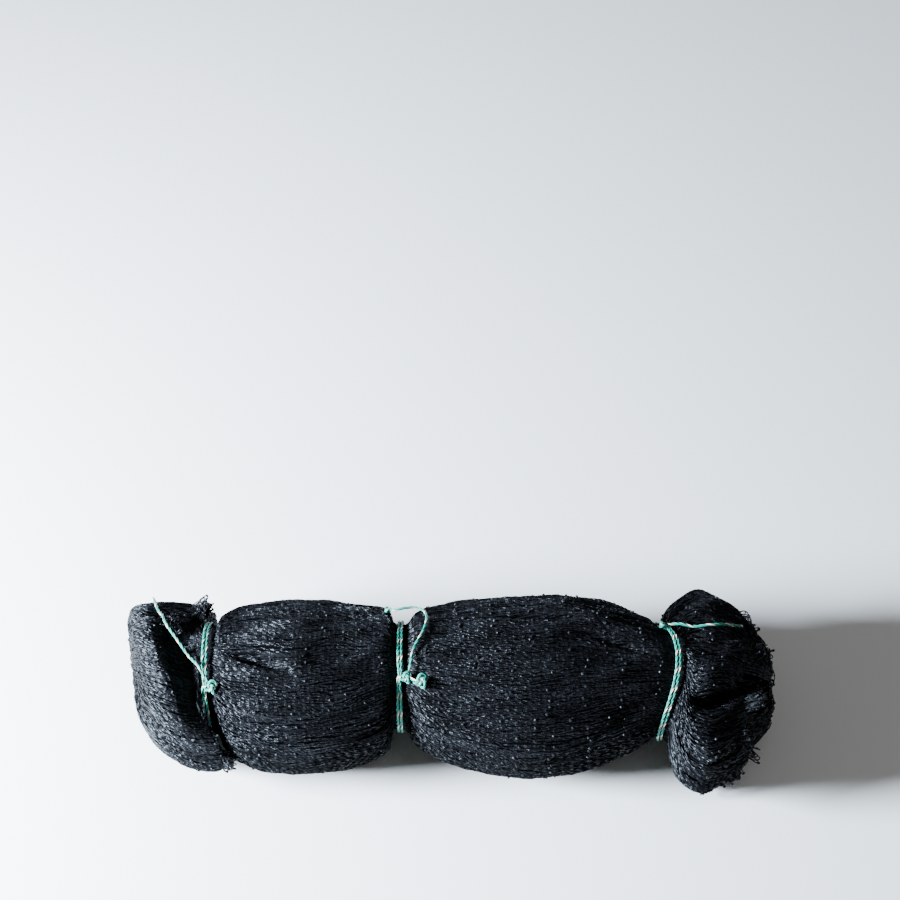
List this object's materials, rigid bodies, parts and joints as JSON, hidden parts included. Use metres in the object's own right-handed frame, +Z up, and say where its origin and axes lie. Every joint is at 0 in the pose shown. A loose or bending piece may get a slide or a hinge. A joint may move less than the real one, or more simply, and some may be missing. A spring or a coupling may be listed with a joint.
{
  "type": "bundled aviary netting",
  "caption": "Black knotted diamond-mesh bird net, gathered lengthwise into a soft bundle and bound with green twine ties.",
  "frame": {"origin": "middle of the bundle's footprint, on the surface that it lies on", "axes": "+X along the bundle towards its wider, ragged end, +Y to the far side, +Z up"},
  "size_m": [0.9132, 0.3196, 0.1881],
  "materials": {
    "net_twine": "soft sheen, three-strand twisted black net twine",
    "tie_twine": "satin, three-strand teal twine with an orange tracer"
  },
  "bodies": {
    "root": {"net_bundle": "net_twine", "tie_left": "tie_twine", "tie_middle": "tie_twine", "tie_right": "tie_twine", "tie_left_end": "tie_twine", "tie_middle_end": "tie_twine", "tie_right_end": "tie_twine"}
  },
  "joints": []
}
